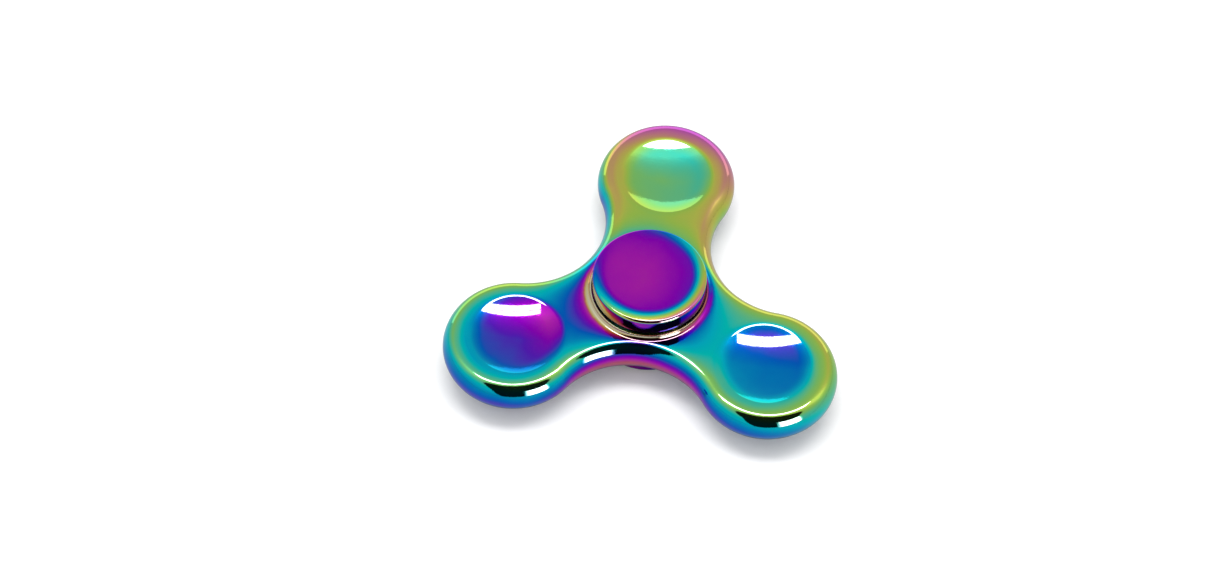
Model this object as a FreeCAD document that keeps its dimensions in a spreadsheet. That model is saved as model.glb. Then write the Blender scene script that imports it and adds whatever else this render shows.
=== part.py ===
import FreeCAD, Part
import math
import os
import re

import Sketcher

# A three-lobed metal fidget spinner: a die-cast body holds a 608 ball bearing in its middle, and two
# finger caps, screwed together through the bearing's bore, clamp the bearing's inner ring.
# Origin at the spin centre, half way up the body. +Z is the spin axis and the first lobe points to +Y.

# name: (millimetres, what it measures)
DIMENSIONS = {
    "across_two_lobes": (75.0, "width of the body over two lobes"),
    "lobe_radius": (13.45, "lobe, to its widest line half way up"),
    "web_radius": (15.4, "hollow flank between two lobes"),
    "body_thickness": (7.2, "between the flat faces"),
    "edge_inset": (2.0, "from the widest line in to the crease of the flat face"),
    "crease_rounding": (2.4, "rounding of that crease"),
    "wall_overlap": (0.5, "how far the swept side runs into the plate"),
    "seat_radius": (11.01, "bore that holds the bearing"),
    "collar_lip": (0.3, "flat lip round the bore"),
    "collar_height": (0.8, "lip above the flat face, also the hollow round of its foot"),
    "lip_rounding": (0.1, "edges of the lip"),
    "dimple_radius": (9.0, "finger dimple, where it meets the flat face"),
    "dimple_depth": (1.7, "finger dimple below the flat face"),
    "dimple_shift": (0.45, "dimple centre towards the hub from the lobe centre"),
    "dimple_rounding": (3.0, "rounding of the dimple's rim"),
    "dimple_headroom": (0.5, "how far the dimple's cut starts above the flat face"),
    "bore_radius": (4.0, "608 bearing: bore"),
    "ring_radius": (11.0, "608 bearing: outside"),
    "bearing_half": (3.5, "608 bearing: half of its width"),
    "ball_radius": (1.9845, "608 bearing: balls"),
    "pitch_radius": (7.5, "608 bearing: circle of the ball centres"),
    "race_radius": (2.06, "ball grooves in both rings"),
    "race_gap": (0.02, "play between a ball and a groove floor"),
    "inner_land": (6.05, "shoulders of the inner ring"),
    "outer_land": (8.95, "shoulders of the outer ring"),
    "ring_chamfer": (0.3, "corners of both rings"),
    "seat_step": (2.6, "step that seats a shield, above the middle"),
    "snap_groove": (9.85, "floor of the groove for a snap wire"),
    "snap_lip": (9.6, "lip that keeps a snap wire in"),
    "snap_lip_thickness": (0.3, "that lip"),
    "shield_sheet": (0.25, "sheet of the shields"),
    "shield_bore": (6.2, "inner edge of a shield"),
    "shield_rim": (9.55, "outer edge of a shield"),
    "shield_bend": (8.6, "where a shield steps outward"),
    "shield_step": (0.25, "height and run of that step"),
    "wire_inner": (9.2, "inside of a snap wire"),
    "wire_outer": (9.83, "outside of a snap wire"),
    "wire_height": (0.3, "snap wire"),
    "wire_gap": (2.0, "opening between the ends of a snap wire"),
    "cage_sheet": (0.3, "sheet of the cage"),
    "cage_inner": (6.6, "inside of the cage's band"),
    "cage_outer": (8.4, "outside of the cage's band"),
    "pocket_gap": (0.08, "ball to cage pocket"),
    "rivet_radius": (0.35, "shank of a cage rivet"),
    "rivet_gap": (0.01, "rivet hole round the shank"),
    "rivet_head": (0.6, "head of a cage rivet"),
    "rivet_dome": (0.28, "height of a rivet head"),
    "cap_radius": (10.85, "finger cap"),
    "cap_top": (8.6, "top of the cap above the middle"),
    "cap_underside": (4.85, "underside of the cap above the middle"),
    "cap_flat": (8.2, "flat middle of the cap's top"),
    "cap_crown": (8.5, "curve by which the top falls from the flat to the rim"),
    "cap_rounding": (0.6, "upper rim of the cap"),
    "boss_radius": (5.6, "shoulder of the cap on the bearing's inner ring"),
    "stub_play": (0.01, "stub of the cap in the bearing's bore"),
    "stub_end": (0.1, "end of the stub above the middle"),
    "small_edge": (0.3, "lower rim of the cap and end of its stub"),
    "tap_radius": (2.0, "tapped bore of the cap, drawn without its thread"),
    "tap_floor": (5.6, "floor of the tapped bore above the middle"),
    "screw_radius": (1.95, "M4 set screw, drawn without its thread"),
    "screw_half": (5.0, "half of the set screw's length"),
    "screw_chamfer": (0.4, "ends of the set screw"),
    "socket_flat": (1.0, "hexagon socket, centre to flat"),
    "socket_depth": (2.0, "hexagon socket"),
}

# formulas that several sketches share
DERIVED = {
    "half_body": "body_thickness / 2",
    "lobe_distance": "(across_two_lobes / 2 - lobe_radius) / cos(30 deg)",
    "side_radius": "(edge_inset * edge_inset + half_body * half_body) / (2 * edge_inset)",
    "collar_edge": "seat_radius + collar_lip",
    "collar_foot": "collar_edge + collar_height",
    "collar_top": "half_body + collar_height",
    "dimple_centre": "lobe_distance - dimple_shift",
    "dimple_sphere": "(dimple_radius * dimple_radius + dimple_depth * dimple_depth) / (2 * dimple_depth)",
    "inner_race_floor": "pitch_radius - ball_radius - race_gap",
    "race_offset": "inner_race_floor + race_radius - inner_land",
    "race_edge": "sqrt(race_radius * race_radius - race_offset * race_offset)",
    "lip_inside": "bearing_half - snap_lip_thickness",
    "shield_top": "seat_step + shield_sheet",
    "pocket_radius": "ball_radius + pocket_gap",
    "pocket_outside": "pocket_radius + cage_sheet",
    "stub_radius": "bore_radius - stub_play",
    "crown_across": "(cap_radius - cap_rounding - cap_flat) / (cap_crown - cap_rounding)",
    "crown_up": "sqrt(1 - crown_across * crown_across)",
}

LOBES = 3
BALLS = 7
LEFT = 1
RIGHT = -1
UPSIDE_DOWN = FreeCAD.Placement(FreeCAD.Vector(), FreeCAD.Rotation(FreeCAD.Vector(1, 0, 0), 180))
TOUCH = 1e-4

doc = FreeCAD.newDocument("fidget_spinner")
sheet = doc.addObject("Spreadsheet::Sheet", "dims")
for row, (alias, (value, meaning)) in enumerate(DIMENSIONS.items(), start=1):
    sheet.set(f"A{row}", meaning)
    sheet.set(f"B{row}", str(value))
    sheet.setAlias(f"B{row}", alias)
doc.recompute()


def formula(text):
    """The same formula with shared formulas written out and each sheet alias led by the sheet's name."""
    def spell(match):
        word = match.group(0)
        if word in DERIVED:
            return f"({formula(DERIVED[word])})"
        return f"dims.{word}" if word in DIMENSIONS else word
    return re.sub(r"[a-z_]+", spell, str(text))


def value_of(text):
    return float(sheet.evalExpression(formula(text)))


def bind(thing, path, text):
    thing.setExpression(path, formula(text))


# ---- bodies, sketches and features -------------------------------------------------------------

def new_body(label, placement=None):
    body = doc.addObject("PartDesign::Body", label)
    body.Label = label
    if placement:
        body.Placement = placement
    return body


def new_sketch(body, role, name, height="0"):
    """A sketch on one of the body's own origin planes, lifted off it by height."""
    sketch = body.newObject("Sketcher::SketchObject", f"{body.Name}_{name}")
    plane = next(item for item in body.Origin.OriginFeatures if item.Role == role)
    sketch.AttachmentSupport = (plane, [""])
    sketch.MapMode = "FlatFace"
    bind(sketch, "AttachmentOffset.Base.z", height)
    return sketch


def pin(sketch, geometry, point, x, y):
    """Fix a point of the sketch at two formulas; a plain 0 puts it on the axis."""
    for kind, axis, text in (("DistanceX", -2, x), ("DistanceY", -1, y)):
        if text == "0":
            sketch.addConstraint(Sketcher.Constraint("PointOnObject", geometry, point, axis))
        else:
            index = sketch.addConstraint(
                Sketcher.Constraint(kind, -1, 1, geometry, point, value_of(text)))
            bind(sketch, f"Constraints[{index}]", text)


def size(sketch, kind, geometry, text):
    index = sketch.addConstraint(Sketcher.Constraint(kind, geometry, value_of(text)))
    bind(sketch, f"Constraints[{index}]", text)


def arc_between(start, end, radius, turn):
    """The shorter arc from start to end that curves to the left or right, and whether it runs backwards."""
    middle = (start + end) / 2
    along = end - start
    half = along.Length / 2
    side = FreeCAD.Vector(-along.y, along.x, 0).normalize() * turn
    centre = middle + side * math.sqrt(max(radius * radius - half * half, 0))
    first, last = (start, end) if turn == LEFT else (end, start)
    angles = [math.atan2(p.y - centre.y, p.x - centre.x) for p in (first, last)]
    circle = Part.Circle(centre, FreeCAD.Vector(0, 0, 1), radius)
    return Part.ArcOfCircle(circle, angles[0], angles[1])


def draw_loop(sketch, corners):
    """A closed loop. Each corner is (x, y) when a line leaves it, or (x, y, turn, radius) for an arc."""
    points = [FreeCAD.Vector(value_of(c[0]), value_of(c[1]), 0) for c in corners]
    edges = []
    for i, corner in enumerate(corners):
        start, end = points[i], points[(i + 1) % len(points)]
        if len(corner) == 2:
            index = sketch.addGeometry(Part.LineSegment(start, end))
            edges.append((index, 1, 2))
        else:
            turn, radius = corner[2:]
            index = sketch.addGeometry(arc_between(start, end, value_of(radius), turn))
            edges.append((index, 1, 2) if turn == LEFT else (index, 2, 1))
    for i, (index, first, last) in enumerate(edges):
        after, after_first, _ = edges[(i + 1) % len(edges)]
        sketch.addConstraint(Sketcher.Constraint("Coincident", index, last, after, after_first))
    for (index, first, _), corner in zip(edges, corners):
        pin(sketch, index, first, corner[0], corner[1])
        if len(corner) > 2:
            size(sketch, "Radius", index, corner[3])


def draw_circle(sketch, x, y, radius):
    centre = FreeCAD.Vector(value_of(x), value_of(y), 0)
    circle = Part.Circle(centre, FreeCAD.Vector(0, 0, 1), value_of(radius))
    index = sketch.addGeometry(circle)
    pin(sketch, index, 3, x, y)
    size(sketch, "Radius", index, radius)


def add_feature(body, kind, name, **properties):
    feature = body.newObject(f"PartDesign::{kind}", f"{body.Name}_{name}")
    for key, value in properties.items():
        setattr(feature, key, value)
    return feature


def revolve(body, kind, sketch, name, axis="V_Axis", angle=360):
    """Turn a sketch round one of its axes: kind is Revolution to add or Groove to cut."""
    return add_feature(body, kind, name, Profile=sketch, ReferenceAxis=(sketch, [axis]), Angle=angle)


def extrude(body, kind, sketch, name, length, **properties):
    """Push a sketch along its normal: kind is Pad to add or Pocket to cut."""
    feature = add_feature(body, kind, name, Profile=sketch, **properties)
    bind(feature, "Length", length)
    return feature


def repeat_round(body, features, name, times):
    """Copies of the features round the body's Z axis."""
    axis = next(item for item in body.Origin.OriginFeatures if item.Role == "Z_Axis")
    pattern = add_feature(body, "PolarPattern", name, Originals=features, Axis=(axis, [""]),
                          Angle=360, Occurrences=times)
    body.Tip = pattern


def lies_at(edge, height):
    """True for a round edge that lies flat at this height above or below the middle."""
    if edge.Degenerated or not isinstance(edge.Curve, Part.Circle):
        return False
    box = edge.BoundBox
    return box.ZLength < TOUCH and abs(abs(box.ZMin) - height) < TOUCH


def round_edges(body, name, radius, wanted):
    """Round the body's edges for which wanted(edge) is true."""
    doc.recompute()
    edges = body.Tip.Shape.Edges
    names = [f"Edge{i}" for i, edge in enumerate(edges, start=1) if wanted(edge)]
    feature = add_feature(body, "Fillet", name, Base=(body.Tip, names))
    bind(feature, "Radius", radius)


def turned(label, corners, placement=None):
    """A piece turned on a lathe: one outline of radius and height, spun round Z."""
    body = new_body(label, placement)
    outline = new_sketch(body, "XZ_Plane", "outline")
    draw_loop(outline, corners)
    revolve(body, "Revolution", outline, "turned")
    return body


# ---- the cast body -------------------------------------------------------------------------------

def draw_lobed_outline(sketch):
    """Three lobes joined by three hollow flanks, all tangent, along the crease of the flat face.

    The first lobe is drawn as two arcs, so that the outline starts at its tip.
    """
    lobe = value_of("lobe_radius - edge_inset")
    flank = value_of("web_radius + edge_inset")
    reach = value_of("lobe_distance")
    flank_reach = reach / 2 + math.sqrt((lobe + flank) ** 2 - 0.75 * reach ** 2)
    up = FreeCAD.Vector(0, 0, 1)
    step = 2 * math.pi / LOBES

    def polar(radius, angle):
        return FreeCAD.Vector(radius * math.cos(angle), radius * math.sin(angle), 0)

    def angle_from(centre, point):
        return math.atan2(point.y - centre.y, point.x - centre.x)

    chain = []
    lobe_arcs = []
    for k in range(LOBES):
        heading = math.pi / 2 + k * step
        centre = polar(reach, heading)
        before = polar(flank_reach, heading - step / 2)
        after = polar(flank_reach, heading + step / 2)
        start = angle_from(centre, before)
        end = angle_from(centre, after)
        cuts = [start, heading, end] if k == 0 else [start, end]
        for first, last in zip(cuts, cuts[1:]):
            index = sketch.addGeometry(Part.ArcOfCircle(Part.Circle(centre, up, lobe), first, last))
            chain.append((index, 1, 2))
            lobe_arcs.append((index, heading))
        next_centre = polar(reach, heading + step)
        index = sketch.addGeometry(Part.ArcOfCircle(
            Part.Circle(after, up, flank), angle_from(after, next_centre), angle_from(after, centre)))
        chain.append((index, 2, 1))
        size(sketch, "Radius", index, "web_radius + edge_inset")

    for (index, _, last), (following, first, _) in zip(chain, chain[1:] + chain[:1]):
        kind = "Coincident" if (index, following) == (0, 1) else "Tangent"
        sketch.addConstraint(Sketcher.Constraint(kind, index, last, following, first))
    sketch.addConstraint(Sketcher.Constraint("PointOnObject", 0, 2, -2))
    for index, heading in lobe_arcs:
        if index == 1:
            sketch.addConstraint(Sketcher.Constraint("Coincident", index, 3, 0, 3))
            continue
        degrees = round(math.degrees(heading))
        across = "0" if index == 0 else f"lobe_distance * cos({degrees} deg)"
        pin(sketch, index, 3, across, f"lobe_distance * sin({degrees} deg)")
        size(sketch, "Radius", index, "lobe_radius - edge_inset")


def make_spinner_body():
    body = new_body("spinner_body")

    outline = new_sketch(body, "XY_Plane", "outline", "-half_body")
    draw_lobed_outline(outline)
    extrude(body, "Pad", outline, "plate", "body_thickness")

    # the bulged side: one arc from crease to crease, swept along the outline
    side = new_sketch(body, "YZ_Plane", "side")
    crease = "lobe_distance + lobe_radius - edge_inset"
    draw_loop(side, [
        (f"{crease} - wall_overlap", "-half_body"),
        (crease, "-half_body", LEFT, "side_radius"),
        (crease, "half_body"),
        (f"{crease} - wall_overlap", "half_body"),
    ])
    doc.recompute()
    add_feature(body, "AdditivePipe", "bulge", Profile=side, Spine=(outline, []), Mode="Standard")

    half_body = value_of("half_body")
    round_edges(body, "creases", "crease_rounding", lambda edge: lies_at(edge, half_body))

    # a collar stands up round the bearing on both sides, hollow at its foot
    collar = new_sketch(body, "XZ_Plane", "collar")
    draw_loop(collar, [
        ("seat_radius - collar_lip", "-collar_top"),
        ("collar_edge", "-collar_top", RIGHT, "collar_height"),
        ("collar_foot", "-half_body"),
        ("collar_foot", "half_body", RIGHT, "collar_height"),
        ("collar_edge", "collar_top"),
        ("seat_radius - collar_lip", "collar_top"),
    ])
    revolve(body, "Revolution", collar, "collar")

    seat = new_sketch(body, "XY_Plane", "seat")
    draw_circle(seat, "0", "0", "seat_radius")
    extrude(body, "Pocket", seat, "seat", "2 * collar_top + 2 * collar_lip", SideType="Symmetric")

    # a finger dimple on both faces of each lobe: a shallow piece of a sphere
    dimples = new_sketch(body, "YZ_Plane", "dimples")
    rim = "dimple_centre + dimple_radius"
    draw_loop(dimples, [
        ("dimple_centre", "half_body - dimple_depth", LEFT, "dimple_sphere"),
        (rim, "half_body"),
        (rim, "half_body + dimple_headroom"),
        ("dimple_centre", "half_body + dimple_headroom"),
    ])
    draw_loop(dimples, [
        ("dimple_centre", "-half_body + dimple_depth", RIGHT, "dimple_sphere"),
        (rim, "-half_body"),
        (rim, "-half_body - dimple_headroom"),
        ("dimple_centre", "-half_body - dimple_headroom"),
    ])
    axis = dimples.addGeometry(Part.LineSegment(
        FreeCAD.Vector(value_of("dimple_centre"), -half_body, 0),
        FreeCAD.Vector(value_of("dimple_centre"), half_body, 0)), True)
    pin(dimples, axis, 1, "dimple_centre", "-half_body")
    pin(dimples, axis, 2, "dimple_centre", "half_body")
    cut = revolve(body, "Groove", dimples, "dimple", axis="Axis0")
    repeat_round(body, [cut], "dimples", LOBES)

    dimple_radius = value_of("dimple_radius")
    lip = value_of("collar_top")
    round_edges(body, "dimple_rims", "dimple_rounding",
                lambda edge: lies_at(edge, half_body) and abs(edge.Curve.Radius - dimple_radius) < TOUCH)
    round_edges(body, "lip_edges", "lip_rounding", lambda edge: lies_at(edge, lip))
    return body


# ---- the 608 bearing -----------------------------------------------------------------------------

def make_outer_ring():
    """Outer ring: ball groove inside, and at each end a step, a snap groove and a lip for a shield."""
    upper = [
        ("outer_land", "race_edge"),
        ("outer_land", "seat_step"),
        ("snap_groove", "seat_step"),
        ("snap_groove", "lip_inside"),
        ("snap_lip", "lip_inside"),
        ("snap_lip", "bearing_half"),
        ("ring_radius - ring_chamfer", "bearing_half"),
        ("ring_radius", "bearing_half - ring_chamfer"),
    ]
    lower = [(x, f"-({y})") for x, y in reversed(upper)]
    lower[-1] += (LEFT, "race_radius")
    return turned("bearing_outer_ring", upper + lower)


def make_inner_ring():
    """Inner ring: plain bore with chamfered corners, ball groove outside."""
    upper = [
        ("inner_land", "race_edge"),
        ("inner_land", "bearing_half - ring_chamfer"),
        ("inner_land - ring_chamfer", "bearing_half"),
        ("bore_radius + ring_chamfer", "bearing_half"),
        ("bore_radius", "bearing_half - ring_chamfer"),
    ]
    lower = [(x, f"-({y})") for x, y in reversed(upper)]
    lower[-1] += (RIGHT, "race_radius")
    return turned("bearing_inner_ring", upper + lower)


def place_round(thing, index):
    """Move a piece out to the circle of the ball centres, at the given number of ball spacings."""
    turn = f"{index} * 360 deg / {BALLS}"
    bind(thing, "Placement.Base.x", f"pitch_radius * cos({turn})")
    bind(thing, "Placement.Base.y", f"pitch_radius * sin({turn})")


def make_ball(index):
    ball = doc.addObject("Part::Sphere", f"bearing_ball_{index + 1}")
    ball.Label = f"bearing_ball_{index + 1}"
    bind(ball, "Radius", "ball_radius")
    place_round(ball, index)
    return ball


def make_cage_half(label, placement=None):
    """One pressed half of the ribbon cage: a flat band that bulges over each ball."""
    body = new_body(label, placement)
    band = new_sketch(body, "XY_Plane", "band")
    draw_circle(band, "0", "0", "cage_inner")
    draw_circle(band, "0", "0", "cage_outer")
    extrude(body, "Pad", band, "band", "cage_sheet")

    # the pocket for the first ball, turned about the radial line through the ball's centre
    hump = new_sketch(body, "XY_Plane", "hump")
    inner_side = "sqrt(pocket_outside^2 - (pitch_radius - cage_inner)^2)"
    outer_side = "sqrt(pocket_outside^2 - (cage_outer - pitch_radius)^2)"
    draw_loop(hump, [
        ("cage_inner", "0"),
        ("cage_outer", "0"),
        ("cage_outer", outer_side, LEFT, "pocket_outside"),
        ("cage_inner", inner_side),
    ])
    humps = revolve(body, "Revolution", hump, "hump", axis="H_Axis", angle=180)
    repeat_round(body, [humps], "humps", BALLS)

    hollow = new_sketch(body, "XY_Plane", "hollow")
    draw_loop(hollow, [
        ("pitch_radius - pocket_radius", "0"),
        ("pitch_radius + pocket_radius", "0", LEFT, "pocket_radius"),
        ("pitch_radius", "pocket_radius", LEFT, "pocket_radius"),
    ])
    pocket = revolve(body, "Groove", hollow, "pocket", axis="H_Axis")
    repeat_round(body, [pocket], "pockets", BALLS)

    half_step = f"180 deg / {BALLS}"
    hole = new_sketch(body, "XY_Plane", "rivet_hole")
    draw_circle(hole, f"pitch_radius * cos({half_step})", f"pitch_radius * sin({half_step})",
                "rivet_radius + rivet_gap")
    drilled = extrude(body, "Pocket", hole, "rivet_hole", "3 * cage_sheet", SideType="Symmetric")
    repeat_round(body, [drilled], "rivet_holes", BALLS)
    return body


def make_cage_rivet(index):
    """A rivet midway between two balls: a shank through both bands and a domed head on each."""
    dome = "(rivet_head * rivet_head + rivet_dome * rivet_dome) / (2 * rivet_dome)"
    body = turned(f"cage_rivet_{index + 1}", [
        ("0", "-cage_sheet - rivet_dome", LEFT, dome),
        ("rivet_head", "-cage_sheet"),
        ("rivet_radius", "-cage_sheet"),
        ("rivet_radius", "cage_sheet"),
        ("rivet_head", "cage_sheet", LEFT, dome),
        ("0", "cage_sheet + rivet_dome"),
    ])
    place_round(body, index + 0.5)
    return body


def make_shield(label, placement=None):
    """A pressed sheet washer: its rim lies on the outer ring's step, its middle steps outward."""
    return turned(label, [
        ("shield_bore", "seat_step + shield_step"),
        ("shield_bend - shield_step", "seat_step + shield_step"),
        ("shield_bend", "seat_step"),
        ("shield_rim", "seat_step"),
        ("shield_rim", "shield_top"),
        ("shield_bend", "shield_top"),
        ("shield_bend - shield_step", "shield_top + shield_step"),
        ("shield_bore", "shield_top + shield_step"),
    ], placement)


def make_shield_clip(label, placement=None):
    """An open snap wire that springs into the outer ring's groove and holds a shield down."""
    body = turned(label, [
        ("wire_inner", "shield_top"),
        ("wire_outer", "shield_top"),
        ("wire_outer", "shield_top + wire_height"),
        ("wire_inner", "shield_top + wire_height"),
    ], placement)
    opening = new_sketch(body, "YZ_Plane", "opening")
    draw_loop(opening, [
        ("-wire_gap / 2", "seat_step"),
        ("wire_gap / 2", "seat_step"),
        ("wire_gap / 2", "bearing_half"),
        ("-wire_gap / 2", "bearing_half"),
    ])
    extrude(body, "Pocket", opening, "opening", "ring_radius", Reversed=True)
    return body


# ---- the finger caps and their screw -------------------------------------------------------------

def make_cap(label, placement=None):
    """A finger cap: flat top with a crowned edge, a shoulder on the inner ring, a stub into its bore."""
    crown_centre = "cap_top - cap_crown"
    return turned(label, [
        ("tap_radius", "stub_end"),
        ("stub_radius - small_edge", "stub_end"),
        ("stub_radius", "stub_end + small_edge"),
        ("stub_radius", "bearing_half"),
        ("boss_radius", "bearing_half"),
        ("boss_radius", "cap_underside"),
        ("cap_radius - small_edge", "cap_underside", LEFT, "small_edge"),
        ("cap_radius", "cap_underside + small_edge"),
        ("cap_radius", f"{crown_centre} + (cap_crown - cap_rounding) * crown_up", LEFT, "cap_rounding"),
        ("cap_flat + cap_crown * crown_across", f"{crown_centre} + cap_crown * crown_up",
         LEFT, "cap_crown"),
        ("cap_flat", "cap_top"),
        ("0", "cap_top"),
        ("0", "tap_floor"),
        ("tap_radius", "tap_floor"),
    ], placement)


def make_axle_screw():
    """A headless set screw: half of it in each cap, with a hexagon socket in its upper end."""
    body = turned("axle_screw", [
        ("0", "-screw_half"),
        ("screw_radius - screw_chamfer", "-screw_half"),
        ("screw_radius", "-screw_half + screw_chamfer"),
        ("screw_radius", "screw_half - screw_chamfer"),
        ("screw_radius - screw_chamfer", "screw_half"),
        ("0", "screw_half"),
    ])
    socket = new_sketch(body, "XY_Plane", "socket", "screw_half")
    corner = "(socket_flat / cos(30 deg))"
    draw_loop(socket, [
        (f"{corner} * cos({angle} deg)", f"{corner} * sin({angle} deg)") for angle in range(30, 390, 60)
    ])
    extrude(body, "Pocket", socket, "socket", "socket_depth")
    return body


# ---- the whole assembly --------------------------------------------------------------------------

pieces = [
    make_spinner_body(),
    make_outer_ring(),
    make_inner_ring(),
    make_cage_half("cage_upper_half"),
    make_cage_half("cage_lower_half", UPSIDE_DOWN),
    make_shield("shield_upper"),
    make_shield("shield_lower", UPSIDE_DOWN),
    make_shield_clip("shield_clip_upper"),
    make_shield_clip("shield_clip_lower", UPSIDE_DOWN),
    make_cap("upper_cap"),
    make_cap("lower_cap", UPSIDE_DOWN),
    make_axle_screw(),
]
for number in range(BALLS):
    pieces.append(make_ball(number))
    pieces.append(make_cage_rivet(number))

doc.recompute()
failed = [item.Name for item in doc.Objects if {"Invalid", "Error"} & set(item.State)]
if failed:
    raise RuntimeError(f"these objects did not compute: {failed}")
for piece in pieces:
    if piece.Shape.isNull() or not piece.Shape.isValid() or len(piece.Shape.Solids) != 1:
        raise RuntimeError(f"{piece.Label} is not one valid solid")

os.makedirs("parts", exist_ok=True)
for piece in pieces:
    piece.Shape.exportStep(os.path.join("parts", f"{piece.Label}.step"))
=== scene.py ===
import math

import bpy
import numpy as np
from mathutils import Matrix, Vector, geometry


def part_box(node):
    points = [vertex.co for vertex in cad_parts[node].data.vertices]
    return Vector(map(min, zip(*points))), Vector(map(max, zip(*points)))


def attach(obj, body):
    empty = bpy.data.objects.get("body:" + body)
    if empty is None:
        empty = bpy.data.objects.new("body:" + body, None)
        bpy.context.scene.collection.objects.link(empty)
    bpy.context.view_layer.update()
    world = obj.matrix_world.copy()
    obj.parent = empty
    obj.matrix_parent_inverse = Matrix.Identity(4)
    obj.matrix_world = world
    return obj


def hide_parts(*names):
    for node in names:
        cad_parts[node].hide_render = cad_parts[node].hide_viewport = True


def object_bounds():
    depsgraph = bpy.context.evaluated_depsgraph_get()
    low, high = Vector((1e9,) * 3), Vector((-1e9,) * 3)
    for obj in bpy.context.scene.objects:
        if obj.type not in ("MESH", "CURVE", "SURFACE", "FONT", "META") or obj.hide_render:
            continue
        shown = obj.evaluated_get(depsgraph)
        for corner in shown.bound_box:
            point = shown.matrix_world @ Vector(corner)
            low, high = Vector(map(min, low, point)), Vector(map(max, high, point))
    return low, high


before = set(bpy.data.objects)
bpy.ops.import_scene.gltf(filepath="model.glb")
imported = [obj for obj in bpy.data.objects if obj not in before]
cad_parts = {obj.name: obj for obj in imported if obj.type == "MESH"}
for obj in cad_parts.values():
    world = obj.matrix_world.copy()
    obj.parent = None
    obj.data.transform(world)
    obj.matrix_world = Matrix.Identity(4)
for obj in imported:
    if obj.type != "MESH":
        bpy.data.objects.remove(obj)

# Looks for a fidget spinner: a mirror-bright cast body and caps with a rainbow interference film, on a
# pale table in a white studio. The origin is the spin centre, +Z the spin axis, and the first lobe
# points to +Y. Lengths are in millimetres until a mesh, lamp or camera is made.
CAD_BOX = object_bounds()
MM = 0.001

BODY_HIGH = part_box("spinner_body")[1] / MM
CAP_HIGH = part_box("upper_cap")[1] / MM
RING_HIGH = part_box("bearing_outer_ring")[1] / MM

# the cast body
LOBES = 3
LOBE_RADIUS = 13.45
WEB_RADIUS = 15.4
LOBE_DISTANCE = BODY_HIGH.y - LOBE_RADIUS
LOBE_HEADINGS = [math.pi / 2 + k * 2 * math.pi / LOBES for k in range(LOBES)]
WEB_HEADINGS = [heading + math.pi / LOBES for heading in LOBE_HEADINGS]
WEB_DISTANCE = LOBE_DISTANCE / 2 + math.sqrt(
    (LOBE_RADIUS + WEB_RADIUS) ** 2 - 0.75 * LOBE_DISTANCE ** 2)
COLLAR_HEIGHT = 0.8
COLLAR_TOP = BODY_HIGH.z
HALF_BODY = COLLAR_TOP - COLLAR_HEIGHT
SEAT_RADIUS = RING_HIGH.x + 0.01
COLLAR_EDGE = SEAT_RADIUS + 0.3
COLLAR_FOOT = COLLAR_EDGE + COLLAR_HEIGHT
LIP_ROUNDING = 0.1
# how many degrees short of upright the hollow foot gives way to the lip
LIP_LEAN = 8
EDGE_INSET = 2.0
CREASE_ROUNDING = 2.4
SIDE_RADIUS = (EDGE_INSET ** 2 + HALF_BODY ** 2) / (2 * EDGE_INSET)
CREASE_HEIGHT = HALF_BODY - CREASE_ROUNDING
CREASE_REACH = math.sqrt((SIDE_RADIUS - CREASE_ROUNDING) ** 2 - CREASE_HEIGHT ** 2)
FLAT_INSET = SIDE_RADIUS - CREASE_REACH
DIMPLE_RADIUS = 9.0
DIMPLE_DEPTH = 1.7
DIMPLE_ROUNDING = 3.0
DIMPLE_DISTANCE = LOBE_DISTANCE - 0.45
DIMPLE_SPHERE = (DIMPLE_RADIUS ** 2 + DIMPLE_DEPTH ** 2) / (2 * DIMPLE_DEPTH)

# how finely the body is divided: along its outline, over its flat faces, and round a circle
OUTLINE_SPACING = 0.3
FLAT_SPACING = 0.6
BODY_SEGMENTS = 192
# decimals of a millimetre to which two points must agree to be welded
WELD_DECIMALS = 4

# the finger caps
CAP_RADIUS = CAP_HIGH.x
CAP_TOP = CAP_HIGH.z
CAP_UNDERSIDE = 4.85
CAP_FLAT = 8.2
CAP_CROWN = 11.0
CAP_ROUNDING = 0.6
CROWN_LEAN = math.asin((CAP_RADIUS - CAP_ROUNDING - CAP_FLAT) / (CAP_CROWN - CAP_ROUNDING))
SMALL_EDGE = 0.3
BOSS_RADIUS = 5.6
STUB_RADIUS = 3.99
STUB_END = 0.1
TAP_RADIUS = 2.0
TAP_FLOOR = 5.6
BEARING_HALF = RING_HIGH.z
CAP_SEGMENTS = 224

# the top of the table, and half its width, in metres
TABLE_HEIGHT = CAD_BOX[0].z
TABLE_HALF = 1.2

# the thickest film, on the scale of FILM_COLOURS
FILM_SCALE = 1.2

# The film on the body, on the scale of FILM_COLOURS. Three values are an amount at the spin centre and
# what it gains per millimetre towards +X and +Y, and the two of a LEAN_GAIN go with surfaces that face
# +X and +Y. An effect sets in over its FROM_TO, in millimetres or as a part of a unit normal, and ends
# over its END. Over its FADE, in millimetres, it falls to about a third.
BODY_FILM = (0.61, 0.0024, 0.0030)
FIRST_LOBE_GROWTH = 0.0100
FIRST_LOBE_REACH = 16.0
TIP_GAIN = 0.12
TIP_FROM_TO = (31.0, 41.0)
LEAN_GAIN = (0.06, 0.26)
STEEP_LOSS = 0.05
STEEP_FROM_TO = (0.35, 0.9)
STEEP_X_GAIN = 0.10
STEEP_X_FROM_TO = (-5.0, 10.0)
DIMPLE_LOSS = (0.135, 0.0007, 0.0)
DIMPLE_FROM_TO = (6.0, 10.5)
DIMPLE_LEAN_GAIN = (0.08, 0.02)
DIMPLE_SHADE = 0.28
EDGE_GAIN = (0.19, -0.0018, -0.0030)
EDGE_FADE = 1.9
COLLAR_LOSS = (0.215, -0.007, -0.004)
COLLAR_FADE = 4.0
CORNER_LOSS = 0.20
CORNER_FADE = 0.5
LIP_LOSS = 0.14
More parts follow.
